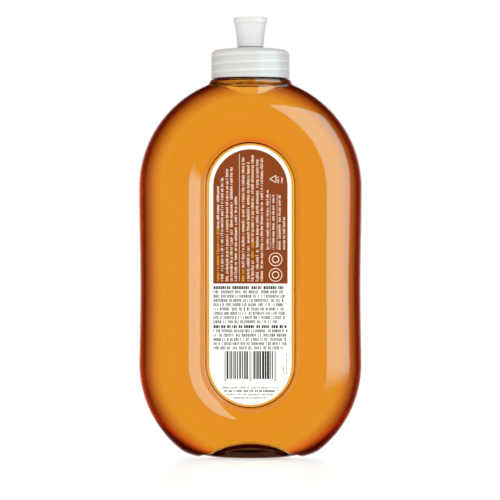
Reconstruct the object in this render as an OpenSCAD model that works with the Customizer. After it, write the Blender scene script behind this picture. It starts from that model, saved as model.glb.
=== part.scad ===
// Push-pull dispenser bottle for liquid detergent, in millimetres.
// Frame: the base stands on z = 0, the body is widest along X and flat along Y,
// and the neck axis is the Z axis. The back label is on the -Y face.

/* [Body] */
// Radius of the stadium outline, seen from the front
body_r = 58; // [56:0.5:60]
// Distance between the centres of the two end arcs
body_straight = 91; // [70:1:120]
// Height of the lower arc centre above the base
low_centre = 49.3; // [47:0.1:51]
// Thickness of the body, front to back
body_depth = 47; // [46:0.5:50]
// Wall thickness of the blown body
wall = 0.8; // [0.6:0.1:1.2]

/* [Label panel] */
// Radius of the recessed label panel
panel_r = 23.6; // [22.5:0.1:24.5]
// Radius of the bulge that falls from the crest to the panel
bulge_r = 12.5; // [12:0.5:18]
// Width of each label
label_w = 42.4; // [36:0.1:44]
// Height of each label
label_h = 134; // [110:1:134]
// Thickness of the label film
label_t = 0.15; // [0.1:0.05:0.3]

/* [Base] */
// Height of the push-up inside the base
pushup_h = 9; // [4:0.5:10]
// Length of the push-up along X
pushup_w = 52; // [40:1:54]
// Width of the push-up along Y
pushup_d = 24; // [20:0.5:28]

/* [Neck and thread] */
// Outside radius of the collar under the cap
collar_r = 20.7; // [20.4:0.1:21]
// Root radius of the neck finish
neck_r = 17.55; // [17.4:0.05:17.6]
// Radius of the bore through the neck
bore_r = 15.6; // [14.5:0.1:15.8]
// Height of the top of the neck finish
neck_top = 209.4; // [209.2:0.1:209.4]
// Crest radius of the thread on the neck
thread_r = 18.7; // [18.5:0.05:18.75]
// Rise of the thread in one turn
pitch = 4.23; // [4:0.01:4.3]
// Turns of thread on the neck
neck_turns = 1.5; // [1:0.25:1.5]

/* [Cap] */
// Outside radius of the cap
cap_r = 20.4; // [20.3:0.1:21]
// Height of the cap's lower edge
skirt_z = 197.1; // [196.9:0.1:197.3]
// Inside radius of the skirt
skirt_in_r = 19.2; // [19.1:0.05:19.3]
// Crest radius of the thread inside the cap
cap_thread_r = 18; // [17.9:0.05:18.1]
// Turns of thread inside the cap
cap_turns = 1.25; // [0.75:0.25:1.25]
// Outside radius of the spout tube
spout_r = 5; // [4.8:0.1:5.1]
// Inside radius of the spout tube
spout_in_r = 3.8; // [3.4:0.1:3.9]

/* [Nozzle] */
// Radius of the nozzle's waist
nozzle_r = 6.9; // [6.7:0.1:7.2]
// Radius of the finger lip
lip_r = 8.8; // [8.5:0.1:9.2]
// Height of the nozzle's top
nozzle_top = 228.8; // [228.6:0.1:229]
// Radius of the outlet
outlet_r = 2.32; // [2.3:0.02:2.4]

/* [Liquid] */
// Height of the surface of the liquid
fill_z = 197; // [150:0.5:200]

/* [Hidden] */
$fn = 96;

half_depth = body_depth / 2;
high_centre = low_centre + body_straight;
crest_r = body_r - half_depth;
panel_half = half_depth - bulge_r + sqrt(pow(bulge_r, 2) - pow(crest_r - panel_r, 2));

// The push-up is an arch along X under a steeper vault along Y: their radii follow
// from the length, width and height where they cut the base.
vault_h = pushup_h + 2;
arch_r = (pow(pushup_w / 2, 2) + pow(pushup_h, 2)) / (2 * pushup_h);
vault_r = (pow(pushup_d / 2, 2) + pow(vault_h, 2)) / (2 * vault_h);

// Collar and neck: a band under the ledge steps in to a foot that meets the shoulders.
ledge_z = 196.4;
band_r = collar_r + 0.8;
band_top_z = 194.6;
band_low_z = 193.9;
step_z = 193.3;
foot_r = 19.3;
foot_z = 178;
ledge_t = 1;
rim_chamfer = 0.45;

// Thread: both helices start at the same angle, the cap's just under the neck's.
thread_root_w = 2.2;
thread_crest_w = 1;
cap_thread_root_w = 1.8;
cap_thread_crest_w = 0.8;
thread_start_z = 200.6;
thread_start_angle = 200;
cap_thread_drop = 1.6;
thread_steps = 40;
run_out_steps = 6;

// Cap and liner: the liner lies between the neck finish and the deck.
liner_t = 1;
liner_in_r = 13.5;
liner_r = 18.6;
deck_z = neck_top + liner_t;
dome_r = 107;
dome_z = 213.35;
shoulder_r = 2.6;
deck_hollow_r = 12.5;
deck_hollow_z = deck_z + 1.2;

// Spout tube with its retaining bead, and the pin that closes the outlet.
spout_top = 223;
bead_r = 5.6;
bead_z = 221.2;
pin_r = 1.9;
pin_tip_r = 2.25;
pin_tip_z = 226.2;
pin_top = nozzle_top - 0.4;
rib_t = 1;
rib_h = 2.6;

// Nozzle: a sleeve whose bottom bead stops under the spout's bead when it is pulled up.
nozzle_z = 213.45;
nozzle_bore_r = 5.7;
nozzle_bead_r = 5.1;
nozzle_bead_h = 1.3;
sleeve_top = 224.2;
chamber_r = 3.2;
plate_t = 2.2;
lip_z = 225.7;
flare_r = 8.3;
flare_power = 1.7;
lip_round = 0.7;

liquid_gap = 0.1;

// Points on an arc about (cx, cz), from angle a0 to a1, in steps equal parts.
function arc(cx, cz, r, a0, a1, steps) =
    [for (i = [0:steps]) let (a = a0 + (a1 - a0) * i / steps) [cx + r * cos(a), cz + r * sin(a)]];

// Half of the body's section in (distance from the outline's centre line, Y), drawn
// inset from the outer surface: outer half circle, inner bulge and flat panel.
module ring_section(inset) {
    intersection() {
        translate([crest_r, 0]) circle(r = half_depth - inset);
        translate([crest_r, -half_depth]) square([half_depth + 1, body_depth]);
    }
    for (side = [-1, 1])
        intersection() {
            translate([crest_r, side * (half_depth - bulge_r)]) circle(r = bulge_r - inset);
            translate([0, -half_depth]) square([crest_r, body_depth]);
        }
    translate([0, inset - panel_half]) square([crest_r, 2 * (panel_half - inset)]);
}

// The body: the section swept round the top arc, down the straight and round the bottom.
module stadium_sweep(inset) {
    translate([0, 0, high_centre])
        rotate([90, 0, 0]) rotate_extrude(angle = 180) ring_section(inset);
    translate([0, 0, low_centre])
        rotate([-90, 0, 0]) rotate_extrude(angle = 180) ring_section(inset);
    translate([0, 0, low_centre])
        linear_extrude(height = body_straight) {
            ring_section(inset);
            mirror([1, 0]) ring_section(inset);
        }
}

// The hollow pressed up into the base, grown by more on every side.
module push_up(more) {
    intersection() {
        translate([0, body_depth, pushup_h - arch_r])
            rotate([90, 0, 0]) cylinder(r = arch_r + more, h = 2 * body_depth);
        translate([-body_r, 0, vault_h - vault_r])
            rotate([0, 90, 0]) cylinder(r = vault_r + more, h = 2 * body_r);
    }
}

module below(z) {
    translate([-body_r - 5, -body_depth, z - 60]) cube([2 * body_r + 10, 2 * body_depth, 60]);
}

// Outer form of the collar, from its foot inside the body to its ledge.
module collar() {
    rotate_extrude()
        polygon([
            [0, foot_z], [foot_r, foot_z], [foot_r, step_z], [band_r, band_low_z],
            [band_r, band_top_z], [collar_r, ledge_z], [0, ledge_z],
        ]);
}

// Hollow of the collar's foot below the ledge, drawn inset by gap from its wall.
module collar_hollow(gap) {
    translate([0, 0, foot_z - 1])
        cylinder(r = foot_r - wall - gap, h = ledge_z - ledge_t - foot_z + 1);
}

// The space inside the bottle, open at the neck, drawn gap smaller than the wall leaves it.
module cavity(gap) {
    bore_z = ledge_z - ledge_t - 1;
    difference() {
        union() {
            stadium_sweep(wall + gap);
            collar_hollow(gap);
            translate([0, 0, bore_z]) cylinder(r = bore_r - gap, h = neck_top + 1 - bore_z);
        }
        below(wall + gap);
        push_up(wall + gap);
    }
}

// A helical thread of trapezoid section between two radii, run out at both ends.
// z_start is the height of its centre line at the first step.
module thread(buried_r, surface_r, crest, root_w, crest_w, turns, z_start) {
    steps = round(thread_steps * turns);
    sections = [
        for (i = [0:steps])
            let (
                a = thread_start_angle + 360 * turns * i / steps,
                z = z_start + pitch * turns * i / steps,
                fade = min(1, (min(i, steps - i) + 0.1) / run_out_steps),
                r = surface_r + (crest - surface_r) * fade,
                half_crest = crest_w / 2 + (root_w - crest_w) / 2 * (1 - fade)
            )
            [
                [buried_r * cos(a), buried_r * sin(a), z - root_w / 2],
                [r * cos(a), r * sin(a), z - half_crest],
                [r * cos(a), r * sin(a), z + half_crest],
                [buried_r * cos(a), buried_r * sin(a), z + root_w / 2],
            ]
    ];
    inward = crest < surface_r;
    walls = [
        for (i = [0:steps - 1], k = [0:3])
            let (here = 4 * i + k, next = 4 * i + (k + 1) % 4)
            for (face = [[here, next, next + 4], [here, next + 4, here + 4]])
                inward ? [face[2], face[1], face[0]] : face
    ];
    first = inward ? [0, 1, 2, 3] : [3, 2, 1, 0];
    last = [for (k = first) 4 * steps + 3 - k];
    polyhedron([for (s = sections) each s], concat(walls, [first, last]), convexity = 6);
}

// The blown body with its collar, cut off at the ledge that carries the neck finish.
module bottle() {
    color([0.91, 0.56, 0.12, 0.7])
        difference() {
            union() {
                stadium_sweep(0);
                collar();
            }
            below(0);
            push_up(0);
            cavity(0);
            translate([0, 0, ledge_z]) cylinder(r = collar_r, h = neck_top - ledge_z);
        }
}

// The threaded tube above the ledge. It is one moulding with the body.
module neck_finish() {
    color([0.95, 0.93, 0.88, 0.7]) {
        rotate_extrude()
            polygon([
                [bore_r, ledge_z], [neck_r, ledge_z], [neck_r, neck_top - rim_chamfer],
                [neck_r - rim_chamfer, neck_top], [bore_r, neck_top],
            ]);
        thread(neck_r - 0.3, neck_r, thread_r, thread_root_w, thread_crest_w,
               neck_turns, thread_start_z);
    }
}

// Flat seal between the rim of the neck and the deck of the cap.
module cap_liner() {
    color("white")
        translate([0, 0, neck_top])
            difference() {
                cylinder(r = liner_r, h = liner_t);
                translate([0, 0, -1]) cylinder(r = liner_in_r, h = liner_t + 2);
            }
}

// Shell of the cap: skirt, rounded shoulder, shallow dome and the spout tube with its bead.
module cap_shell() {
    dome_cz = dome_z - dome_r;
    fillet_r = cap_r - shoulder_r;
    fillet_z = dome_cz + sqrt(pow(dome_r - shoulder_r, 2) - pow(fillet_r, 2));
    fillet_top = atan2(fillet_z - dome_cz, fillet_r);
    spout_foot = acos(spout_r / dome_r);
    rotate_extrude()
        polygon(concat(
            [[skirt_in_r, skirt_z], [cap_r, skirt_z]],
            arc(fillet_r, fillet_z, shoulder_r, 0, fillet_top, 6),
            arc(0, dome_cz, dome_r, fillet_top, spout_foot, 4),
            [
                [spout_r, bead_z], [bead_r, bead_z + 0.4], [bead_r, bead_z + 1],
                [spout_r, spout_top], [spout_in_r, spout_top], [spout_in_r, deck_hollow_z],
                [deck_hollow_r, deck_hollow_z], [deck_hollow_r, deck_z], [skirt_in_r, deck_z],
            ]
        ));
}

// Pin on three ribs inside the spout tube; its tip fills the outlet of the closed nozzle.
module closing_pin() {
    rotate_extrude()
        polygon([
            [0, deck_hollow_z], [pin_r, deck_hollow_z],
            [pin_r, pin_tip_z - 0.6], [pin_tip_r, pin_tip_z],
            [pin_tip_r, pin_top - 0.4], [pin_tip_r - 0.4, pin_top], [0, pin_top],
        ]);
    for (k = [0:2])
        rotate([0, 0, 120 * k + 30])
            translate([0, -rib_t / 2, deck_hollow_z]) cube([spout_in_r + 0.3, rib_t, rib_h]);
}

module screw_cap() {
    color([0.87, 0.87, 0.87]) {
        cap_shell();
        closing_pin();
        thread(skirt_in_r + 0.3, skirt_in_r, cap_thread_r, cap_thread_root_w,
               cap_thread_crest_w, cap_turns, thread_start_z - cap_thread_drop);
    }
}

// Push-pull nozzle: a flared sleeve over the spout tube with the outlet in its top plate.
module nozzle() {
    flare = [
        for (i = [0:8])
            let (t = i / 8)
            [nozzle_r + (flare_r - nozzle_r) * pow(t, flare_power), nozzle_z + (lip_z - nozzle_z) * t]
    ];
    color([0.93, 0.93, 0.93])
        rotate_extrude()
            polygon(concat(
                [[nozzle_bead_r, nozzle_z]],
                flare,
                [[lip_r, lip_z + 0.3]],
                arc(lip_r - lip_round, nozzle_top - lip_round, lip_round, 0, 90, 4),
                [
                    [outlet_r + 0.4, nozzle_top], [outlet_r, nozzle_top - 0.4],
                    [outlet_r, nozzle_top - plate_t], [chamber_r, nozzle_top - plate_t],
                    [chamber_r, nozzle_top - plate_t - 0.8], [nozzle_bore_r, sleeve_top],
                    [nozzle_bore_r, nozzle_z + nozzle_bead_h + 0.4],
                    [nozzle_bead_r, nozzle_z + nozzle_bead_h],
                ]
            ));
}

// A stadium-shaped film that lies on the flat panel of one face.
module label(side) {
    end_r = label_w / 2;
    centre = (low_centre + high_centre) / 2;
    reach = label_h / 2 - end_r;
    color([1, 0.99, 0.96])
        translate([0, side * (panel_half + label_t / 2) + label_t / 2, centre])
            rotate([90, 0, 0])
                linear_extrude(height = label_t) {
                    square([label_w, 2 * reach], center = true);
                    for (end = [-1, 1])
                        translate([0, end * reach]) circle(r = end_r);
                }
}

module back_label() {
    label(-1);
}

module front_label() {
    label(1);
}

module detergent() {
    color([0.85, 0.45, 0.05])
        difference() {
            cavity(liquid_gap);
            translate([-50, -50, fill_z]) cube([100, 100, 100]);
        }
}

bottle();
neck_finish();
cap_liner();
screw_cap();
nozzle();
back_label();
front_label();
detergent();
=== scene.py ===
"""Looks of a push-pull detergent bottle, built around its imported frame. Shapes are in millimetres."""

import math
import random

import bmesh
import bpy
import numpy as np
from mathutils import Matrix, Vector
from mathutils.geometry import delaunay_2d_cdt


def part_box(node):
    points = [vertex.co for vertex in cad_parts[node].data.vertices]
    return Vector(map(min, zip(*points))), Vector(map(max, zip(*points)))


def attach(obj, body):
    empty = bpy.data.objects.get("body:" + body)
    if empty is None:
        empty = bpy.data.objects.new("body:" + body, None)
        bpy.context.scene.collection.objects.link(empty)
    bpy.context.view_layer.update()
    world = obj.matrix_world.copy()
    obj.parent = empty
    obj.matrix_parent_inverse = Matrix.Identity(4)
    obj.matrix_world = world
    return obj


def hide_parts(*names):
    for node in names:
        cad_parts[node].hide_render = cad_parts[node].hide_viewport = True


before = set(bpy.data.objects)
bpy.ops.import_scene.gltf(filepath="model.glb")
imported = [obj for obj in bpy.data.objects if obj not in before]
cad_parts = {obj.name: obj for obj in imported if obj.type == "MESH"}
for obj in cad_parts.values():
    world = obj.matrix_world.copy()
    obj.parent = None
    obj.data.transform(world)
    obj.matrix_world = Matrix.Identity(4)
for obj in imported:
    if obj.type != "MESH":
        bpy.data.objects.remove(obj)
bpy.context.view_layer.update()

MM = 0.001


def span(node):
    """Lowest and highest corner of a CAD node, in millimetres."""
    lo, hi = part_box(node)
    return np.array(lo) / MM, np.array(hi) / MM


# ---------------------------------------------------------------- sizes
_, bottle_hi = span("bottle")
cap_lo, cap_hi = span("screw_cap")
nozzle_lo, nozzle_hi = span("nozzle")
liner_lo, liner_hi = span("cap_liner")
_, liquid_hi = span("detergent")
label_lo, label_hi = span("back_label")

BODY_R = bottle_hi[0]  # radius of the stadium outline
HALF_DEPTH = bottle_hi[1]
NECK_TOP = bottle_hi[2]
LOW_CENTRE, HIGH_CENTRE = 49.3, 140.3  # heights of the two end arcs' centres
CREST_R = BODY_R - HALF_DEPTH
BULGE_R = 12.5
PANEL_R = 23.6
PANEL_HALF = HALF_DEPTH - BULGE_R + math.sqrt(BULGE_R**2 - (CREST_R - PANEL_R) ** 2)
WALL = 0.8
LIQUID_INSET = 0.65  # the liquid reaches 0.15 mm into the wall, so that no air shows between them
WAIST = 0.65  # how far each side is drawn in at mid-height
WAIST_Z = 88.0
WAIST_REACH = 52.0

PUSHUP_H, VAULT_H, PUSHUP_W, PUSHUP_D = 9.0, 11.0, 52.0, 24.0
ARCH_R = ((PUSHUP_W / 2) ** 2 + PUSHUP_H**2) / (2 * PUSHUP_H)
VAULT_R = ((PUSHUP_D / 2) ** 2 + VAULT_H**2) / (2 * VAULT_H)

LEDGE_Z, COLLAR_R = 196.4, 20.7
BAND_R, BAND_TOP_Z, BAND_LOW_Z = 21.5, 194.6, 193.6
FOOT_R, FOOT_Z = 19.3, 178.0
NECK_R, BORE_R = 17.55, 15.6
CEILING_Z = LEDGE_Z - 1.0

FOOT_DROP = 0.15  # lets the rounded foot ring stand on z = 0
CREASE_ROUND, HEEL_ROUND, RIM_ROUND, VAULT_ROUND = 0.7, 5.0, 1.6, 1.5
SHOULDER_ROUND, BAND_ROUND = 1.2, 0.4

PITCH = 4.23
THREAD_ANGLE = math.radians(200)  # where both helices start
THREAD_RUN_OUT = 0.15  # turns over which a thread fades at each end
THREAD_ROW = 0.22  # height of one row of its mesh
# height of the thread, height of its start, turns, width at the root and width at the crest
NECK_THREAD = (1.15, 200.6, 1.5, 2.2, 1.0)
CAP_THREAD = (-1.2, 199.0, 1.25, 1.8, 0.8)


# ---------------------------------------------------------------- body form
def smooth_max(a, b, k):
    h = np.maximum(k - np.abs(a - b), 0) / k
    return np.maximum(a, b) + h * h * k / 4


def smooth_min(a, b, k):
    return -smooth_max(-a, -b, k)


def smooth_step(t):
    t = np.clip(t, 0, 1)
    return t * t * (3 - 2 * t)


def vessel(p):
    """Roughly the distance from the bottle's outer surface below its ledge, negative inside."""
    x, y, z = p[..., 0], p[..., 1], p[..., 2]
    r = np.hypot(x, z - np.clip(z, LOW_CENTRE, HIGH_CENTRE))
    drawn_in = WAIST * smooth_step(1 - np.abs(z - WAIST_Z) / WAIST_REACH)
    r = r + drawn_in * smooth_step((r - CREST_R) / HALF_DEPTH)
    outer = np.hypot(r - CREST_R, y) - HALF_DEPTH
    bulge = np.hypot(r - CREST_R, np.abs(y) - (HALF_DEPTH - BULGE_R)) - BULGE_R
    dished = smooth_min(bulge, np.abs(y) - PANEL_HALF, CREASE_ROUND)
    body = np.where(r >= CREST_R, outer, dished)
    arch = np.hypot(x, z + ARCH_R - PUSHUP_H) - ARCH_R
    vault = np.hypot(y, z + VAULT_R - VAULT_H) - VAULT_R
    body = smooth_max(body, -z - FOOT_DROP, HEEL_ROUND)
    body = smooth_max(body, -smooth_max(arch, vault, VAULT_ROUND), RIM_ROUND)
    rho = np.hypot(x, y)
    run, rise = BAND_R - COLLAR_R, LEDGE_Z - BAND_TOP_Z
    cone = ((rho - COLLAR_R) * rise + (z - LEDGE_Z) * run) / math.hypot(run, rise)
    band = smooth_max(smooth_max(rho - BAND_R, cone, BAND_ROUND), BAND_LOW_Z - z, BAND_ROUND)
    collar = np.maximum(smooth_min(rho - FOOT_R, band, BAND_ROUND), FOOT_Z - z)
    return np.maximum(smooth_min(body, collar, SHOULDER_ROUND), np.abs(y) - HALF_DEPTH)


def settle(p, inset, steps=6):
    """Moves points along the form's gradient until they lie inset below its surface."""
    h = 0.01
    for _ in range(steps):
        f = vessel(p) + inset
        g = np.stack([(vessel(p + d) - vessel(p - d)) / (2 * h) for d in np.eye(3) * h], -1)
        p = p - (f / (g * g).sum(-1))[..., None] * g
    return p


ARC_STEPS, SIDE_STEPS, TUBE_STEPS, BULGE_STEPS = 144, 20, 56, 13
BLOCK = 31  # the neck's patch reaches this many arc steps to each side of the top
PATCH_STEPS, PATCH_PASSES = 44, 160  # rings of the patch, and how often they are evened out


def outline():
    """(direction from the vertical, height of the centre) once round the stadium, clockwise from
    the left."""
    top = [(-math.pi / 2 + math.pi * i / ARC_STEPS, HIGH_CENTRE) for i in range(ARC_STEPS)]
    straight = HIGH_CENTRE - LOW_CENTRE
    side = [(math.pi / 2, HIGH_CENTRE - straight * i / SIDE_STEPS) for i in range(SIDE_STEPS)]
    half = top + side
    return half + [(a + math.pi, HIGH_CENTRE + LOW_CENTRE - z) for a, z in half]


def section():
    """(distance from the outline's centre line, y): the points from the -Y panel up to the rim, those
    round the rim, and those down to the +Y panel."""
    slope = math.asin((CREST_R - PANEL_R) / BULGE_R)
    panel = [(r, -PANEL_HALF) for r in (20.0, 21.6, 22.4, 22.8, 23.1, 23.35)]
    bulge = []
    for i in range(BULGE_STEPS):
        a = slope * (1 - i / BULGE_STEPS) ** 1.35
        bulge.append((CREST_R - BULGE_R * math.sin(a), BULGE_R - HALF_DEPTH - BULGE_R * math.cos(a)))
    front = panel + bulge
    tube = [
        (CREST_R + HALF_DEPTH * math.cos(a), HALF_DEPTH * math.sin(a))
        for a in np.linspace(-math.pi / 2, math.pi / 2, TUBE_STEPS + 1)
    ]
    return front, tube, [(r, -y) for r, y in reversed(front)]


def vessel_sheet(inset, ring_z):
    """The body as a grid with a hole at the neck, and a patch that fills the hole up to a ring on the
    collar. Gives the grid, the loop of its points around the hole, the patch's rows, the angles
    round its ring, and the grid's cells that the hole leaves out."""
    front, tube, back = section()
    rows = front + tube + back
    way = outline()
    grid = np.array([[(r * math.sin(a), y, z + r * math.cos(a)) for a, z in way] for r, y in rows])
    low = grid[..., 2] < LOW_CENTRE
    arch = np.sqrt(ARCH_R**2 - np.minimum(np.abs(grid[..., 0]), ARCH_R) ** 2) - ARCH_R + PUSHUP_H
    vault = np.sqrt(VAULT_R**2 - np.minimum(np.abs(grid[..., 1]), VAULT_R) ** 2) - VAULT_R + VAULT_H
    floor = np.maximum(np.minimum(arch, vault), 0) + inset
    grid[..., 2] = np.where(low, np.maximum(grid[..., 2], floor), grid[..., 2])
    grid = settle(grid, inset)

    first, last = len(front), len(front) + TUBE_STEPS
    left, right = ARC_STEPS // 2 - BLOCK, ARC_STEPS // 2 + BLOCK
    loop = [(first, c) for c in range(left, right)]
    loop += [(r, right) for r in range(first, last)]
    loop += [(last, c) for c in range(right, left, -1)]
    loop += [(r, left) for r in range(last, first, -1)]
    count = len(loop)
    turn = [math.tau * (k - BLOCK) / count - math.pi / 2 for k in range(count)]
    slope = (BAND_R - COLLAR_R) / (LEDGE_Z - BAND_TOP_Z)
    ring_r = COLLAR_R + (LEDGE_Z - ring_z) * slope - inset * math.hypot(1, slope)
    ring = np.array([(ring_r * math.cos(a), ring_r * math.sin(a), ring_z) for a in turn])
    edge = np.array([grid[r, c] for r, c in loop])
    u = (np.arange(PATCH_STEPS + 1) / PATCH_STEPS)[:, None, None]
    patch = edge * (1 - u) + ring * u
    patch[1:-1] = settle(patch[1:-1], inset, 3)
    for _ in range(PATCH_PASSES):
        mean = (patch[:-2] + patch[2:] + np.roll(patch[1:-1], 1, 1) + np.roll(patch[1:-1], -1, 1)) / 4
        patch[1:-1] = settle(mean, inset, 1)
    patch[1:-1] = settle(patch[1:-1], inset, 4)
    hole = {(r, c) for r in range(first, last) for c in range(left, right)}
    return grid, loop, patch, turn, hole


class Shell:
    """Collects vertices and faces of one mesh; grids share their border rows by index."""

    def __init__(self):
        self.points, self.faces = [], []

    def add(self, points):
        start = len(self.points)
        self.points.extend(map(tuple, np.asarray(points, float).reshape(-1, 3)))
        return start

    def strip(self, a, b, closed=True):
        n = len(a)
        for i in range(n if closed else n - 1):
            j = (i + 1) % n
            self.faces.append((a[i], a[j], b[j], b[i]))

    def rings(self, rows, first=None, last=None):
        """Joins closed rows of equal length; first and last are index rows that exist already."""
        ids = [] if first is None else [first]
        for row in rows:
            start = self.add(row)
            ids.append(list(range(start, start + len(row))))
        if last is not None:
            ids.append(last)
        for a, b in zip(ids, ids[1:]):
            self.strip(a, b)
        return ids

    def body(self, inset, ring_z):
        """Adds the body's surface. Gives the index row of its ring on the collar, and its angles."""
        grid, loop, patch, turn, hole = vessel_sheet(inset, ring_z)
        n_rows, n_cols = grid.shape[:2]
        inner = {(r, c) for r, c in hole if (r - 1, c) in hole and (r, c - 1) in hole}
        keep = [(r, c) for r in range(n_rows) for c in range(n_cols) if (r, c) not in inner]
        start = self.add([grid[k] for k in keep])
        at = {k: start + i for i, k in enumerate(keep)}
        for r in range(n_rows - 1):
            for c in range(n_cols):
                d = (c + 1) % n_cols
                if (r, c) not in hole:
                    self.faces.append((at[r, c], at[r, d], at[r + 1, d], at[r + 1, c]))
        self.faces.append(tuple(at[0, c] for c in range(n_cols)))
        self.faces.append(tuple(at[n_rows - 1, c] for c in range(n_cols)))
        ids = self.rings(patch[1:], first=[at[k] for k in loop])
        return ids[-1], turn

    def object(self, name, body, slot, *stands_for):
        """Makes the mesh object with its faces turned outwards, riding on a body of the frame."""
        mesh = bpy.data.meshes.new(name)
        mesh.from_pydata([Vector(p) * MM for p in self.points], [], self.faces)
        bm = bmesh.new()
        bm.from_mesh(mesh)
        bmesh.ops.recalc_face_normals(bm, faces=bm.faces)
        if bm.calc_volume(signed=True) < 0:
            bmesh.ops.reverse_faces(bm, faces=bm.faces)
        bm.to_mesh(mesh)
        bm.free()
        mesh.polygons.foreach_set("use_smooth", [True] * len(mesh.polygons))
        obj = bpy.data.objects.new(name, mesh)
        bpy.context.scene.collection.objects.link(obj)
        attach(obj, body)
        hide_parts(*stands_for)
        return obj


def circle_rows(profile, turn):
    return [[(r * math.cos(a), r * math.sin(a), z) for a in turn] for r, z in profile]


def thread_height(z, angle, start_z, turns, root_w, crest_w):
    """How much of a thread's height stands at (angle, z): 0 on the root, 1 on the crest."""
    best = 0.0
    phase = ((angle - THREAD_ANGLE) % math.tau) / math.tau
    for whole in range(-1, 3):
        t = phase + whole
        if not 0 <= t <= turns:
            continue
        off = abs(z - start_z - PITCH * t)
        flank = (root_w / 2 - off) / ((root_w - crest_w) / 2)
        fade = min(1, min(t, turns - t) / THREAD_RUN_OUT)
        best = max(best, min(1, max(0, flank)) * fade)
    return (float(smooth_step(best)) + best) / 2


def threaded_rows(radius, z_from, z_to, turn, height, *thread):
    """Rows of a cylinder with a thread raised on it by height, which is negative inside a cap.
    thread holds its start, turns, root width and crest width."""
    count = round(abs(z_to - z_from) / THREAD_ROW)
    rows = []
    for z in np.linspace(z_from, z_to, count + 1):
        row = []
        for a in turn:
            r = radius + height * thread_height(z, a, *thread)
            row.append((r * math.cos(a), r * math.sin(a), z))
        rows.append(row)
    return rows


def make_bottle():
    shell = Shell()
    outside, turn = shell.body(0.0, 195.2)
    outer_faces = len(shell.faces)
    inside, _ = shell.body(WALL, 194.9)
    inner_faces = len(shell.faces) - outer_faces
    rows = circle_rows(
        [
            (21.0, 195.85), (20.82, 196.2), (20.6, 196.36), (20.3, LEDGE_Z), (19.0, LEDGE_Z),
            (18.2, LEDGE_Z), (17.85, 196.47), (17.63, 196.68), (NECK_R, 197.0),
        ],
        turn,
    )
    rows += threaded_rows(NECK_R, 197.4, 208.6, turn, *NECK_THREAD)
    rows += circle_rows(
        [
            (17.5, 208.95), (17.36, 209.25), (17.1, NECK_TOP), (16.05, NECK_TOP), (15.8, 209.3),
            (15.64, 209.1), (BORE_R, 208.7), (BORE_R, 205), (BORE_R, 201), (BORE_R, 197.5),
            (BORE_R, 196.2), (15.68, 195.75), (15.95, 195.48), (16.4, CEILING_Z), (18, CEILING_Z),
            (19.4, CEILING_Z), (20.1, 195.28),
        ],
        turn,
    )
    shell.rings(rows, first=outside, last=inside)
    obj = shell.object("bottle_shell", "bottle", "bottle_pet", "bottle", "neck_finish")
    wetted = [outer_faces <= i < outer_faces + inner_faces for i in range(len(shell.faces))]
    obj.data.polygons.foreach_set("material_index", wetted)
    return obj


def make_liquid():
    shell = Shell()
    top = liquid_hi[2]
    ring, turn = shell.body(LIQUID_INSET, 194.95)
    rows = circle_rows(
        [
            (20.25, 195.4), (19.5, CEILING_Z + 0.15), (16.6, CEILING_Z + 0.15), (15.95, 195.75),
            (15.75, 196.2), (15.75, top - 0.1), (15.5, top), (15.1, top - 0.22),
            (14.2, top - 0.36), (11, top - 0.4), (5, top - 0.4),
        ],
        turn,
    )
    ids = shell.rings(rows, first=ring)
    shell.faces.append(tuple(ids[-1]))
    return shell.object("liquid_fill", "bottle", "liquid", "detergent")


# ---------------------------------------------------------------- cap, nozzle and seal
def arc_points(cx, cz, r, a0, a1, steps):
    return [(cx + r * math.cos(a), cz + r * math.sin(a)) for a in np.linspace(a0, a1, steps + 1)]


def rounded(points, radius, hold=0.12):
    """An open profile with its corners rounded and held by a point close to each end of the round."""
    out = [points[0]]
    for a, b, c in zip(points, points[1:], points[2:]):
        a, b, c = map(Vector, (a, b, c))
        before, after = a - b, c - b
        bend = math.pi - before.angle(after, 0)
        r = min(radius, before.length * 0.4, after.length * 0.4)
        if bend < math.radians(12) or r < 0.02:
            out.append(tuple(b))
            continue
        p, q = b + before.normalized() * r, b + after.normalized() * r
        if before.length > 4 * r:
            out.append(tuple(p + before.normalized() * hold))
        for t in (0, 0.33, 0.67, 1):
            out.append(tuple(p * (1 - t) ** 2 + b * 2 * t * (1 - t) + q * t * t))
        if after.length > 4 * r:
            out.append(tuple(q + after.normalized() * hold))
    return out + [points[-1]]


def full_turn(count):
    return [math.tau * k / count for k in range(count)]


CAP_R = cap_hi[0]
SKIRT_Z = cap_lo[2]
SKIRT_IN_R = 19.2
DECK_Z = liner_hi[2]
DECK_HOLLOW_R, DECK_HOLLOW_Z = 12.5, DECK_Z + 1.2
DOME_R, DOME_Z, CAP_SHOULDER_R = 107.0, 213.35, 2.6
SPOUT_R, SPOUT_IN_R, SPOUT_TOP = 5.0, 3.8, 223.0
SPOUT_BEAD_R, SPOUT_BEAD_Z = 5.6, 221.2
PIN_R, PIN_TIP_R, PIN_TIP_Z = 1.9, 2.25, 226.2
RIB_T, RIB_H = 1.0, 2.6
NOZZLE_Z, NOZZLE_TOP = nozzle_lo[2], nozzle_hi[2]
LIP_R, LIP_Z, WAIST_R, FLARE_R = nozzle_hi[0], 225.7, 6.9, 8.3


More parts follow.
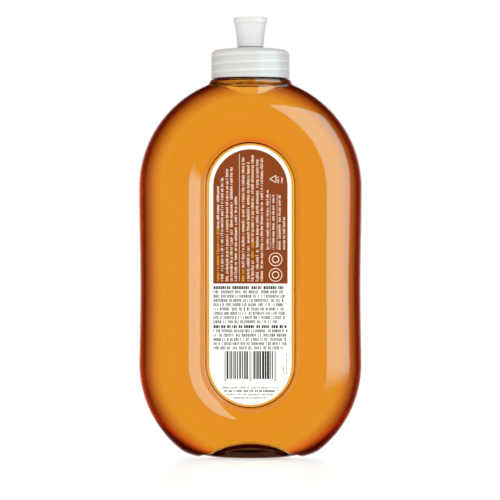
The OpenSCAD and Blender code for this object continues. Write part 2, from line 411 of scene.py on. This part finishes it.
def make_cap():
    turn = full_turn(192)
    centre_z = DOME_Z - DOME_R
    fillet_r = CAP_R - CAP_SHOULDER_R
    fillet_z = centre_z + math.sqrt((DOME_R - CAP_SHOULDER_R) ** 2 - fillet_r**2)
    meet = math.atan2(fillet_z - centre_z, fillet_r)
    outside = [(SKIRT_IN_R + 0.05, SKIRT_Z + 0.12), (SKIRT_IN_R + 0.2, SKIRT_Z), (CAP_R - 0.25, SKIRT_Z)]
    outside += [(CAP_R - 0.08, SKIRT_Z + 0.06), (CAP_R, SKIRT_Z + 0.25)]
    outside += [(CAP_R, z) for z in np.linspace(SKIRT_Z + 0.6, fillet_z - 0.3, 10)]
    outside += arc_points(fillet_r, fillet_z, CAP_SHOULDER_R, 0, meet, 12)
    outside += arc_points(0, centre_z, DOME_R, meet, math.acos((SPOUT_R + 0.6) / DOME_R), 12)[1:]
    spout = [
        outside[-1], (SPOUT_R, DOME_Z - 0.1), (SPOUT_R, SPOUT_BEAD_Z), (SPOUT_BEAD_R, SPOUT_BEAD_Z + 0.4),
        (SPOUT_BEAD_R, SPOUT_BEAD_Z + 1), (SPOUT_R, SPOUT_TOP), (SPOUT_IN_R, SPOUT_TOP),
        (SPOUT_IN_R, DECK_HOLLOW_Z), (DECK_HOLLOW_R, DECK_HOLLOW_Z), (DECK_HOLLOW_R, DECK_Z),
        (SKIRT_IN_R, DECK_Z), (SKIRT_IN_R, DECK_Z - 0.6),
    ]
    shell = Shell()
    rows = circle_rows(outside + rounded(spout, 0.25)[1:], turn)
    rows += threaded_rows(SKIRT_IN_R, DECK_Z - 0.9, SKIRT_Z + 0.4, turn, *CAP_THREAD)
    ids = shell.rings(rows)
    shell.strip(ids[-1], ids[0])

    pin_top = NOZZLE_TOP - 0.4
    pin = rounded(
        [
            (0.3, DECK_HOLLOW_Z), (PIN_R, DECK_HOLLOW_Z), (PIN_R, PIN_TIP_Z - 0.6), (PIN_TIP_R, PIN_TIP_Z),
            (PIN_TIP_R, pin_top - 0.4), (PIN_TIP_R - 0.4, pin_top), (0.3, pin_top),
        ],
        0.2,
    )
    ids = shell.rings(circle_rows(pin, full_turn(64)))
    shell.faces += [tuple(ids[0]), tuple(ids[-1])]
    for k in range(3):
        add_rib(shell, math.radians(120 * k + 30))
    return shell.object("cap_moulding", "cap", "cap_plastic", "screw_cap")


def add_rib(shell, angle):
    """A rib from the pin to the wall of the spout tube."""
    along = np.array([math.cos(angle), math.sin(angle), 0])
    side = np.array([-along[1], along[0], 0]) * RIB_T / 2
    inner, outer = PIN_R - 0.2, SPOUT_IN_R + 0.2
    corners = []
    for z in (DECK_HOLLOW_Z + 0.02, DECK_HOLLOW_Z + RIB_H):
        for reach, way in ((inner, -1), (outer, -1), (outer, 1), (inner, 1)):
            corners.append(along * reach + side * way + np.array([0, 0, z]))
    start = shell.add(corners)
    low, high = [start + i for i in range(4)], [start + 4 + i for i in range(4)]
    shell.strip(low, high)
    shell.faces += [tuple(low), tuple(high)]


def make_nozzle():
    bore_r, bead_r, bead_top, chamber_r, outlet_r = 5.7, 5.1, NOZZLE_Z + 1.3, 3.2, 2.32
    plate_z = NOZZLE_TOP - 2.2
    flare = []
    for i in range(25):
        t = i / 24
        flare.append((WAIST_R + (FLARE_R - WAIST_R) * t**1.7, NOZZLE_Z + (LIP_Z - NOZZLE_Z) * t))
    outside = [(bead_r, NOZZLE_Z + 0.2), (bead_r + 0.2, NOZZLE_Z), (WAIST_R - 0.2, NOZZLE_Z)]
    outside += [(WAIST_R - 0.03, NOZZLE_Z + 0.15)] + flare[1:-1]
    lip = rounded([flare[-2], flare[-1], (LIP_R, LIP_Z + 0.3), (LIP_R, NOZZLE_TOP - 0.9)], 0.25)[1:-1]
    top = arc_points(LIP_R - 0.7, NOZZLE_TOP - 0.7, 0.7, 0, math.pi / 2, 6)
    inside = rounded(
        [
            top[-1], (6.6, NOZZLE_TOP), (6.2, NOZZLE_TOP - 0.35), (outlet_r + 1.0, NOZZLE_TOP - 0.35),
            (outlet_r + 0.7, NOZZLE_TOP), (outlet_r, NOZZLE_TOP), (outlet_r, plate_z), (chamber_r, plate_z),
            (chamber_r, plate_z - 0.8), (bore_r, 224.2), (bore_r, bead_top + 0.4), (bead_r, bead_top),
            (bead_r, NOZZLE_Z + 0.2),
        ],
        0.22,
    )
    shell = Shell()
    ids = shell.rings(circle_rows(outside + lip + top + inside[1:-1], full_turn(144)))
    shell.strip(ids[-1], ids[0])
    return shell.object("nozzle_sleeve", "spout_nozzle", "nozzle_plastic", "nozzle")


def make_liner():
    in_r, out_r, low, high = 13.5, liner_hi[0], liner_lo[2], liner_hi[2]
    middle = (in_r, (low + high) / 2)
    loop = [middle, (in_r, high), (out_r, high), (out_r, low), (in_r, low), middle]
    shell = Shell()
    ids = shell.rings(circle_rows(rounded(loop, 0.2)[:-1], full_turn(128)))
    shell.strip(ids[-1], ids[0])
    return shell.object("seal_ring", "seal", "liner_foam", "cap_liner")


# ---------------------------------------------------------------- labels
FILM, BROWN, CREAM, YELLOW, BLACK, GREY = range(6)
LABEL_R = (label_hi[0] - label_lo[0]) / 2
LABEL_LOW, LABEL_HIGH = label_lo[2] + LABEL_R, label_hi[2] - LABEL_R
LABEL_T = label_hi[1] - label_lo[1]
BROWN_R, BROWN_FOOT = LABEL_R - 2.0, 90.4  # the brown area inside the white border, and its lower edge


class Artwork:
    """Shapes printed on a label, in millimetres: u to the right and v up, as one reads it."""

    def __init__(self, seed):
        self.loops, self.inks = [], []
        self.random = random.Random(seed)

    def polygon(self, points, ink):
        self.loops.append([tuple(p) for p in points])
        self.inks.append(ink)

    def bar(self, u0, v0, u1, v1, ink):
        self.polygon([(u0, v0), (u1, v0), (u1, v1), (u0, v1)], ink)

    def stadium(self, r, ink, flat_at=None):
        """A stadium about the label's middle, or its upper part down to flat_at."""
        points = arc_points(0, LABEL_HIGH, r, 0, math.pi, 48)
        if flat_at is None:
            points += arc_points(0, LABEL_LOW, r, math.pi, math.tau, 48)
        else:
            points += [(-r, flat_at), (r, flat_at)]
        self.polygon(points, ink)

    def line(self, start, along, length, height, ink, accent=None, bold=False, capitals=False):
        """A line of made-up marks, grouped like words. start is its foot and along its direction.
        accent gives (from, to, ink) as shares of the length, for words in another ink."""
        low = 1.0 if capitals else 0.72
        up = (-along[1], along[0])
        stem = height * (0.34 if bold else 0.2 if capitals else 0.17)

        def mark(a0, b0, a1, b1, tone):
            if a1 - a0 < 0.05 * height:
                return
            corners = ((a0, b0), (a1, b0), (a1, b1), (a0, b1))
            self.polygon([[start[i] + along[i] * a + up[i] * b for i in (0, 1)] for a, b in corners], tone)

        at = 0.0
        while at < length - height * 0.5:
            for _ in range(self.random.choice((2, 3, 4, 5, 6, 7, 8))):
                wide = height * self.random.uniform(0.42, 0.68)
                if at + wide > length:
                    break
                tone = ink
                if accent and accent[0] <= at / length < accent[1]:
                    tone = accent[2]
                tall = height * self.random.choice((low, low, low, 1.0))
                mark(at, 0, at + stem, tall, tone)
                kind = self.random.random()
                if kind < 0.75:
                    mark(at + wide - stem, 0, at + wide, height * low, tone)
                if kind < 0.55 or kind > 0.85:
                    foot = self.random.choice((0, 0.4, 0.8)) * (height * low)
                    mark(at + stem, foot, at + wide - stem, foot + stem * 0.8, tone)
                at += wide + height * 0.16
            at += height * 0.42

    def ring(self, u, v, r, thick, ink, paper):
        self.polygon(arc_points(u, v, r, 0, math.tau, 28)[:-1], ink)
        self.polygon(arc_points(u, v, r - thick, 0, math.tau, 28)[:-1], paper)

    def bar_code(self, u0, u1, v0, v1, guard):
        """A made-up bar code with no number behind it: runs of 1 to 4 modules between guard bars."""
        modules = 95
        step = (u1 - u0) / modules
        self.bar(u0 - 1.1, v0 - 1.2, u1 + 1.1, v1 + 0.6, FILM)
        at, dark = 3, False
        for edge in (0, 2, modules // 2 - 1, modules // 2 + 1, modules - 3, modules - 1):
            self.bar(u0 + edge * step, v0 - guard, u0 + (edge + 1) * step, v1, BLACK)
        while at < modules - 5:
            run = self.random.choice((2, 2, 3, 3, 4) if dark else (1, 1, 2, 1, 1, 2))
            near_middle = abs(at + run / 2 - modules / 2) < 4
            if dark and not near_middle:
                self.bar(u0 + at * step, v0, u0 + min(at + run, modules - 4) * step, v1, BLACK)
            at += run
            dark = not dark

    def sheet(self, name, side):
        """The printed film: a thin closed sheet whose outer face is divided along the print."""
        points, edges, faces = [], [], []
        for loop in self.loops:
            start = len(points)
            points += [Vector(p) for p in loop]
            faces.append(list(range(start, start + len(loop))))
        found = delaunay_2d_cdt(points, edges, faces, 1, 1e-5)
        out_points, _, out_faces, _, _, owners = found
        y_out = side * (PANEL_HALF + LABEL_T - 0.01)
        y_in = side * (PANEL_HALF + 0.01)
        shell = Shell()
        shell.add([(-side * p[0], y_out, p[1]) for p in out_points])
        shell.faces = [tuple(f) for f in out_faces]
        inks = [self.inks[max(o)] for o in owners]
        counts = {}
        for f in out_faces:
            for a, b in zip(f, f[1:] + f[:1]):
                counts[a, b] = counts.get((a, b), 0) + 1
        rim = {a: b for a, b in counts if (b, a) not in counts}
        first = next(iter(rim))
        loop = [first]
        while rim[loop[-1]] != first:
            loop.append(rim[loop[-1]])
        start = shell.add([(-side * out_points[i][0], y_in, out_points[i][1]) for i in loop])
        back = list(range(start, start + len(loop)))
        shell.strip(loop, back)
        shell.faces.append(tuple(back))
        inks += [FILM] * (len(shell.faces) - len(inks))
        node = "back_label" if side < 0 else "front_label"
        obj = shell.object(name, "bottle", "label_film", node)
        obj.data.polygons.foreach_set("material_index", inks)
        obj.data.polygons.foreach_set("use_smooth", [False] * len(inks))
        return obj


def back_artwork():
    art = Artwork(7)
    art.stadium(LABEL_R, FILM)
    r, foot = BROWN_R, BROWN_FOOT
    art.stadium(r, BROWN, flat_at=foot)
    up, across = (0, 1), (1, 0)
    # upright lines: distance from the left edge of the brown area, top, and where yellow words lie
    columns = (
        (3.1, 142.2, (0, 0.54)), (5.2, 146.4, None), (7.8, 151.0, None), (10.0, 150.6, None),
        (12.3, 136.2, None), (16.1, 155.6, (0, 0.08)), (18.7, 154.1, None),
        (20.9, 157.4, (0.14, 0.3)), (23.4, 154.5, None), (25.7, 156.1, None),
    )
    for place, top, accent in columns:
        words = accent and (*accent, YELLOW)
        art.line((place - r, foot + 1.3), up, top - foot - 1.3, 1.55, CREAM, words)
    art.bar(13.4 - r, foot + 1.3, 13.6 - r, 157.2, CREAM)
    low = 108.0
    for place, top in ((28.6, 139.8), (31.6, 136.4), (34.8, 136.4), (37.1, 125.4)):
        art.line((place - r, low), up, top - low, 1.4, CREAM)
    for place in (29.3, 32.9):
        art.bar(place - r, low, place + 0.15 - r, 136.6, CREAM)
    add_triangle(art, 31.3 - r, 144.4, 2.5)
    for row, length in ((33.9, 3.6), (35.9, 3.2)):
        art.line((row - r, 142.2), up, length, 1.1, CREAM)
    for v in (102.9, 94.9):
        art.ring(32.2 - r, v, 3.5, 0.35, CREAM, BROWN)
        art.ring(32.2 - r, v, 1.9, 0.45, CREAM, BROWN)
    left, width = -19.0, 38.4
    for k in range(9):
        ink = BLACK if k == 0 else GREY
        long = width * (0.97 if k < 8 else 0.86)
        art.line((left, 87.5 - 2.2 * k), across, long, 1.6, ink, bold=k == 0, capitals=True)
    for k in range(6):
        long = width * (1.0 if k < 5 else 0.93)
        art.line((left, 67.4 - 2.2 * k), across, long, 1.6, GREY, bold=k == 0, capitals=True)
    art.bar_code(-13.3, 13.3, 41.2, 55.6, 1.2)
    for k, half in enumerate((14.6, 13.6, 12.0, 8.6)):
        art.line((-half, 36.3 - 1.75 * k), across, 2 * half, 1.15, BLACK, bold=k == 1)
    for u, length in ((17.4, 5.2), (19.0, 11.4)):
        art.line((u, 43.6), up, length, 0.8, GREY)
    return art.sheet("back_label_film", -1)


def add_triangle(art, u, v, size):
    """A plain triangle of three bars."""
    corners = (math.pi, -math.pi / 3, math.pi / 3)
    tips = [(u + size * math.cos(a), v + size * math.sin(a)) for a in corners]
    centre = Vector((u, v))
    for a, b in zip(tips, tips[1:] + tips[:1]):
        a, b = Vector(a), Vector(b)
        p, q = a.lerp(b, 0.03), a.lerp(b, 0.97)
        art.polygon([p, q, q.lerp(centre, 0.3), p.lerp(centre, 0.3)], CREAM)


def front_artwork():
    art = Artwork(11)
    art.stadium(LABEL_R, FILM)
    art.stadium(BROWN_R, BROWN, flat_at=BROWN_FOOT)
    for k in range(7):
        lean = 0.5 * math.sin(1.3 * k)
        v, end = 97 + 6.6 * k, BROWN_R - 1.2
        art.polygon([(-end, v), (end, v + 0.5 + lean), (end, v + 1.1 + lean), (-end, v + 0.8)], YELLOW)
    across = (1, 0)
    art.line((-11.0, 143.5), across, 22, 4.2, CREAM, bold=True)
    art.line((-13.0, 82.0), across, 26, 3.0, BROWN, bold=True)
    art.line((-11.5, 76.6), across, 23, 1.9, GREY)
    art.line((-12.5, 73.2), across, 25, 1.9, GREY)
    add_drop(art, 0, 56.0, 6.2)
    for k, half in enumerate((12.5, 11.8, 9.0)):
        art.line((-half, 41.4 - 2.5 * k), across, 2 * half, 1.5, GREY)
    return art.sheet("front_label_film", 1)


def add_drop(art, u, v, size):
    """A plain drop: a round bottom drawn up to a point."""
    points = arc_points(u, v, size * 0.72, math.radians(150), math.radians(390), 24)
    art.polygon(points + [(u, v + size * 1.5)], YELLOW)


# ---------------------------------------------------------------- materials
def math_node(nodes, links, kind, *values):
    """A math node of a kind; each value is a number or another node's output."""
    node = nodes.new("ShaderNodeMath")
    node.operation = kind
    for socket, value in zip(node.inputs, values):
        if isinstance(value, (int, float)):
            socket.default_value = value
        else:
            links.new(value, socket)
    return node.outputs[0]


def smooth_node(nodes, links, value, low, high):
    """A smooth step of a value from 0 at low to 1 at high."""
    node = nodes.new("ShaderNodeMapRange")
    node.interpolation_type = "SMOOTHSTEP"
    node.inputs["From Min"].default_value = min(low, high)
    node.inputs["From Max"].default_value = max(low, high)
    node.inputs["To Min"].default_value = 0 if low < high else 1
    node.inputs["To Max"].default_value = 1 if low < high else 0
    links.new(value, node.inputs["Value"])
    return node.outputs["Result"]


def ramp_node(nodes, links, factor, stops):
    """A colour ramp through (position, colour) stops."""
    node = nodes.new("ShaderNodeValToRGB")
    ramp = node.color_ramp
    while len(ramp.elements) < len(stops):
        ramp.elements.new(0.5)
    for element, (position, color) in zip(ramp.elements, stops):
        element.position = position
        element.color = (*color, 1)
    links.new(factor, node.inputs["Fac"])
    return node.outputs["Color"]


def blend_node(nodes, links, factor, first, second):
    """A blend of two colours, each a colour or another node's output."""
    node = nodes.new("ShaderNodeMix")
    node.data_type = "RGBA"
    links.new(factor, node.inputs["Factor"])
    for socket, color in ((node.inputs[6], first), (node.inputs[7], second)):
        if isinstance(color, tuple):
            socket.default_value = (*color, 1)
        else:
            links.new(color, socket)
    return node.outputs[2]


CAP_TONE = (0.84, 0.83, 0.8)
# painted light and shade on the cap along one pitch of its thread, lighter and darker where the thread
# inside changes how much light comes through the wall: (share of the pitch, factor on the tone)
CAP_THREAD_SHADE = ((0.0, 0.9), (0.2, 1.08), (0.34, 1.1), (0.46, 0.92), (0.62, 0.99), (0.8, 0.94), (1.0, 0.9))


class Paint:
    """A node material under construction: its Principled shader and short ways to add nodes."""

    def __init__(self, name):
        self.material = bpy.data.materials.new(name)
        self.material.use_nodes = True
        self.nodes = self.material.node_tree.nodes
        self.links = self.material.node_tree.links
        self.shader = self.nodes["Principled BSDF"]
        self.output = self.nodes["Material Output"]
        self.place = self.nodes.new("ShaderNodeTexCoord").outputs["Object"]

    def set(self, **values):
        names = {
            "color": "Base Color", "rough": "Roughness", "ior": "IOR", "clear": "Transmission Weight",
            "tint": "Specular Tint",
        }
        for key, value in values.items():
            self.shader.inputs[names[key]].default_value = value
        return self

    def noise(self, scale, detail=2.0, stretch=(1, 1, 1)):
        mapping = self.nodes.new("ShaderNodeMapping")
        mapping.inputs["Scale"].default_value = stretch
        self.links.new(self.place, mapping.inputs["Vector"])
        node = self.nodes.new("ShaderNodeTexNoise")
        node.inputs["Scale"].default_value = scale
        node.inputs["Detail"].default_value = detail
        self.links.new(mapping.outputs["Vector"], node.inputs["Vector"])
        return node.outputs["Fac"]

    def ramp(self, factor, *stops):
        return ramp_node(self.nodes, self.links, factor, stops)

    def between(self, factor, low, high):
        node = self.nodes.new("ShaderNodeMapRange")
        node.inputs["To Min"].default_value = low
        node.inputs["To Max"].default_value = high
        self.links.new(factor, node.inputs["Value"])
        return node.outputs["Result"]

    def bump(self, height, strength, distance):
        node = self.nodes.new("ShaderNodeBump")
        node.inputs["Strength"].default_value = strength
        node.inputs["Distance"].default_value = distance
        self.links.new(height, node.inputs["Height"])
        self.links.new(node.outputs["Normal"], self.shader.inputs["Normal"])

    def drive(self, socket, name):
        self.links.new(socket, self.shader.inputs[name])


def clear_plastic(name, gloss):
    """Clear blown polyester with the faint waves of a blown wall. gloss is 1 in air, and next to
    nothing on the inner side, which is wet."""
    paint = Paint(name).set(color=(0.98, 0.975, 0.96, 1), clear=1.0, ior=1.5)
    paint.set(tint=(gloss, gloss, gloss, 1))
    waves = paint.noise(45, 2.0, (1, 1, 0.45))
    paint.drive(paint.between(waves, 0.015, 0.04), "Roughness")
    paint.bump(waves, 0.06, 0.0006)
    return paint.material


def amber_liquid():
    """Amber detergent: clear, tinted by its depth."""
    paint = Paint("amber_detergent").set(clear=1.0, ior=1.36, rough=0.0, tint=(0.1, 0.1, 0.1, 1))
    paint.set(color=(1, 1, 1, 1))
    depth = paint.nodes.new("ShaderNodeVolumeAbsorption")
    depth.inputs["Color"].default_value = (0.955, 0.72, 0.05, 1)
    depth.inputs["Density"].default_value = 95.0
    paint.links.new(depth.outputs["Volume"], paint.output.inputs["Volume"])
    return paint.material


def milky_plastic(name, tone, clear, rough):
    """Natural moulded plastic that lets light through without a clear view, still open to more nodes."""
    paint = Paint(name).set(clear=clear, ior=1.5, tint=(0.7, 0.7, 0.7, 1))
    cloud = paint.noise(160, 3.0)
    low = tuple(0.97 * c for c in tone)
    paint.drive(paint.ramp(cloud, (0.35, low), (0.65, tone)), "Base Color")
    paint.drive(paint.between(paint.noise(900, 2.0), rough - 0.04, rough + 0.05), "Roughness")
    paint.bump(paint.noise(300, 2.0), 0.02, 0.0002)
    return paint


def cap_plastic():
    """The cap's plastic, with faint slanting stripes of painted light and shade where its inner thread
    shows.
    """
    paint = milky_plastic("cap_polypropylene", CAP_TONE, 0.3, 0.24)
    nodes, links = paint.nodes, paint.links
    turn = nodes.new("ShaderNodeTexGradient")
    turn.gradient_type = "RADIAL"
    links.new(paint.place, turn.inputs["Vector"])
    split = nodes.new("ShaderNodeSeparateXYZ")
    links.new(paint.place, split.inputs[0])
    rise = math_node(nodes, links, "MULTIPLY", split.outputs["Z"], 1 / (PITCH * MM))
    rise = math_node(nodes, links, "SUBTRACT", rise, turn.outputs["Fac"])
    wave = math_node(nodes, links, "FRACT", rise)
    # painted light and shade: lighter and darker slanting stripes that follow the thread inside the cap
    thread_shade = paint.ramp(wave, *((at, tuple(k * c for c in CAP_TONE)) for at, k in CAP_THREAD_SHADE))
    below = smooth_node(nodes, links, split.outputs["Z"], (DECK_Z - 0.4) * MM, (DECK_Z - 1.2) * MM)
    paint.drive(blend_node(nodes, links, below, CAP_TONE, thread_shade), "Base Color")
    return paint.material


def printed(name, tone):
    """Ink or film on the label, slightly uneven in tone."""
    paint = Paint(name).set(tint=(0.15, 0.15, 0.15, 1))
    grain = paint.noise(700, 3.0)
    low = tuple(0.93 * c for c in tone)
    paint.drive(paint.ramp(grain, (0.3, low), (0.7, tone)), "Base Color")
    paint.drive(paint.between(grain, 0.37, 0.48), "Roughness")
    paint.bump(paint.noise(1500, 2.0), 0.04, 0.00005)
    return paint.material


def foam():
    paint = Paint("seal_foam")
    cells = paint.noise(2200, 4.0)
    paint.drive(paint.ramp(cells, (0.3, (0.8, 0.8, 0.79)), (0.7, (0.93, 0.93, 0.92))), "Base Color")
    paint.drive(paint.between(cells, 0.75, 0.9), "Roughness")
    paint.bump(cells, 0.4, 0.0002)
    return paint.material


def label_inks():
    """The film and its inks, in the order of FILM to GREY."""
    tones = {
        "label_film": (0.96, 0.93, 0.88),
        "ink_brown": (0.233, 0.049, 0.01),
        "ink_cream": (0.9, 0.74, 0.6),
        "ink_yellow": (0.72, 0.42, 0.03),
        "ink_black": (0.01, 0.009, 0.009),
        "ink_grey": (0.018, 0.014, 0.016),
    }
    return [printed(name, tone) for name, tone in tones.items()]


# ---------------------------------------------------------------- stage
BACKLIGHT = 1.06
# colour of the backlight by how squarely a ray meets its panel, as the cosine of the angle
PANEL_STOPS = (
    (0.0, (0.012, 0.004, 0.004)), (0.60, (0.06, 0.008, 0.006)), (0.77, (0.2, 0.045, 0.03)),
    (0.87, (0.58, 0.3, 0.26)), (0.92, (0.83, 0.62, 0.6)), (0.965, (1, 1, 1)),
)
SIDE_SHARE = 0.94  # makes the panels at the sides narrower and dimmer
GLOW, GLOW_SHARE = (1.6, 0, 0.05), 0.25  # a faint red glow over the panels
LOWEST_LEVEL = 0.1  # what is left of the backlight straight up and down


def backlight(nodes, links, direction):
    """Colour and level, by direction, of a white panel behind the object that fades to dark red
    around it, and darkens above and below. Rays that come through the object also find panels in
    front of it and at its sides."""
    split = nodes.new("ShaderNodeSeparateXYZ")
    links.new(direction, split.inputs[0])
    x, y, z = (split.outputs[k] for k in "XYZ")

    def calc(kind, *values):
        return math_node(nodes, links, kind, *values)

    def smooth(low, high):
        return smooth_node(nodes, links, z, low, high)

    through = nodes.new("ShaderNodeLightPath").outputs["Is Transmission Ray"]
    sides = calc("MAXIMUM", calc("MULTIPLY", calc("ABSOLUTE", x), SIDE_SHARE), calc("ABSOLUTE", y))
    facing = calc("MAXIMUM", y, calc("MULTIPLY", sides, through))
    panel = ramp_node(nodes, links, facing, PANEL_STOPS)
    glow = calc("MULTIPLY", calc("MULTIPLY", smooth(0.2, 0.45), smooth(0.85, 0.6)), GLOW_SHARE)
    level = calc("MULTIPLY", smooth(0.5, 0.33), smooth(-0.86, -0.56))
    level = calc("MULTIPLY_ADD", level, 1 - LOWEST_LEVEL, LOWEST_LEVEL)
    return blend_node(nodes, links, glow, panel, GLOW), level


TENT = 0.82  # the even light that matt surfaces get from all around
SOFTBOX = 4.2  # its radiance
SOFTBOX_AZIMUTH = math.radians(59)  # from the front towards the right
SOFTBOX_ELEVATION = math.radians(22)


def softbox_light(nodes, links, direction):
    """Brightness of a soft rectangular light by direction, fading out along its lower edge."""
    a, e = SOFTBOX_AZIMUTH, SOFTBOX_ELEVATION
    axes = (
        (math.cos(e) * math.sin(a), -math.cos(e) * math.cos(a), math.sin(e)),
        (math.cos(a), math.sin(a), 0),
        (-math.sin(e) * math.sin(a), math.sin(e) * math.cos(a), math.cos(e)),
    )
    parts = []
    for axis in axes:
        node = nodes.new("ShaderNodeVectorMath")
        node.operation = "DOT_PRODUCT"
        node.inputs[1].default_value = axis
        links.new(direction, node.inputs[0])
        parts.append(node.outputs["Value"])
    ahead = math_node(nodes, links, "MAXIMUM", parts[0], 0.02)
    across = math_node(nodes, links, "DIVIDE", parts[1], ahead)
    up = math_node(nodes, links, "DIVIDE", parts[2], ahead)
    level = smooth_node(nodes, links, math_node(nodes, links, "ABSOLUTE", across), 0.76, 0.70)
    level = math_node(nodes, links, "MULTIPLY", level, smooth_node(nodes, links, up, 0.68, 0.62))
    level = math_node(nodes, links, "MULTIPLY", level, smooth_node(nodes, links, up, -0.76, -0.42))
    return math_node(nodes, links, "MULTIPLY", level, SOFTBOX)


def make_world():
    """White to the camera. Glass and gloss see a panel behind the object and a softbox in front,
    and matt surfaces get even light."""
    world = bpy.data.worlds.new("studio")
    bpy.context.scene.world = world
    world.use_nodes = True
    nodes, links = world.node_tree.nodes, world.node_tree.links
    panel = nodes["Background"]
    place = nodes.new("ShaderNodeTexCoord").outputs["Generated"]
    color, level = backlight(nodes, links, place)
    links.new(color, panel.inputs["Color"])
    links.new(math_node(nodes, links, "MULTIPLY", level, BACKLIGHT), panel.inputs["Strength"])
    box = nodes.new("ShaderNodeBackground")
    box.inputs["Color"].default_value = (0.4, 0.93, 1, 1)
    links.new(softbox_light(nodes, links, place), box.inputs["Strength"])
    both = nodes.new("ShaderNodeAddShader")
    links.new(panel.outputs[0], both.inputs[0])
    links.new(box.outputs[0], both.inputs[1])
    tent = nodes.new("ShaderNodeBackground")
    tent.inputs["Color"].default_value = (1, 1, 0.985, 1)
    tent.inputs["Strength"].default_value = TENT
    path = nodes.new("ShaderNodeLightPath")
    clear_or_gloss = (path.outputs["Is Glossy Ray"], path.outputs["Is Transmission Ray"])
    bright = math_node(nodes, links, "MAXIMUM", *clear_or_gloss)
    mix = nodes.new("ShaderNodeMixShader")
    links.new(bright, mix.inputs["Fac"])
    links.new(tent.outputs[0], mix.inputs[1])
    links.new(both.outputs[0], mix.inputs[2])
    plain = nodes.new("ShaderNodeBackground")
    plain.inputs["Color"].default_value = (1, 1, 1, 1)
    by_camera(nodes, links, mix, plain, nodes["World Output"])


def by_camera(nodes, links, others, camera, output):
    """Shows the one shader to the camera and the other to all other rays."""
    path = nodes.new("ShaderNodeLightPath")
    mix = nodes.new("ShaderNodeMixShader")
    links.new(path.outputs["Is Camera Ray"], mix.inputs["Fac"])
    links.new(others.outputs[0], mix.inputs[1])
    links.new(camera.outputs[0], mix.inputs[2])
    links.new(mix.outputs[0], output.inputs["Surface"])


def make_floor():
    """A white table for the camera. Glass and gloss see the surroundings through it."""
    half, low = 6.0, -0.0004
    mesh = bpy.data.meshes.new("floor")
    corners = [(-half, -half, low), (half, -half, low), (half, half, low), (-half, half, low)]
    mesh.from_pydata(corners, [], [(0, 1, 2, 3)])
    floor = bpy.data.objects.new("floor", mesh)
    bpy.context.scene.collection.objects.link(floor)
    floor.visible_glossy = False
    floor.visible_transmission = False
    material = bpy.data.materials.new("white_table")
    material.use_nodes = True
    nodes, links = material.node_tree.nodes, material.node_tree.links
    shader = nodes["Principled BSDF"]
    shader.inputs["Base Color"].default_value = (0.9, 0.9, 0.9, 1)
    shader.inputs["Roughness"].default_value = 0.35
    shader.inputs["Emission Color"].default_value = (1, 1, 1, 1)
    shader.inputs["Emission Strength"].default_value = 0.4
    mesh.materials.append(material)


def add_softbox(name, place, aim, wide, tall, power):
    """A soft lamp that lights matt surfaces and shows in no reflection."""
    data = bpy.data.lights.new(name, "AREA")
    data.shape = "RECTANGLE"
    data.size, data.size_y, data.energy = wide, tall, power
    light = bpy.data.objects.new(name, data)
    light.location = place
    light.rotation_mode = "QUATERNION"
    light.rotation_quaternion = (Vector(place) - Vector(aim)).to_track_quat("Z", "Y")
    light.visible_glossy = False
    light.visible_transmission = False
    bpy.context.scene.collection.objects.link(light)


def make_lights():
    middle = Vector((0, 0, 0.11))
    add_softbox("left_fill", (-0.8, -1.7, 0.3), middle, 1.2, 1.0, 9)
    add_softbox("right_fill", (0.8, -1.7, 0.3), middle, 1.2, 1.0, 9)


def make_camera():
    distance, height, frame_width = 2.2, 0.087, 0.26
    data = bpy.data.cameras.new("camera")
    data.sensor_width = 36
    data.lens = data.sensor_width * distance / frame_width
    data.clip_start, data.clip_end = 0.1, 50
    camera = bpy.data.objects.new("camera", data)
    camera.location = (-0.0002, -distance, height)
    aim = Vector((-0.0002, 0, 0.1079))
    camera.rotation_mode = "QUATERNION"
    camera.rotation_quaternion = (camera.location - aim).to_track_quat("Z", "Y")
    bpy.context.scene.collection.objects.link(camera)
    bpy.context.scene.camera = camera


# ---------------------------------------------------------------- assembly
def finish_with(obj, *materials):
    for material in materials:
        obj.data.materials.append(material)
    return obj


make_camera()
make_world()
make_floor()
make_lights()

clear_parts = [
    finish_with(
        make_bottle(), clear_plastic("clear_polyester", 1.0), clear_plastic("wetted_polyester", 0.1)
    ),
    finish_with(make_liquid(), amber_liquid()),
]
for part in clear_parts:
    part.visible_shadow = False  # lamps reach the labels through them
finish_with(make_cap(), cap_plastic())
nozzle_plastic = milky_plastic("nozzle_polyethylene", (0.87, 0.85, 0.835), 0.2, 0.34)
finish_with(make_nozzle(), nozzle_plastic.material)
finish_with(make_liner(), foam())
inks = label_inks()
finish_with(back_artwork(), *inks)
finish_with(front_artwork(), *inks)

scene = bpy.context.scene
scene.view_settings.view_transform = "Standard"
scene.cycles.max_bounces = 32
scene.cycles.transmission_bounces = 32
scene.cycles.glossy_bounces = 12
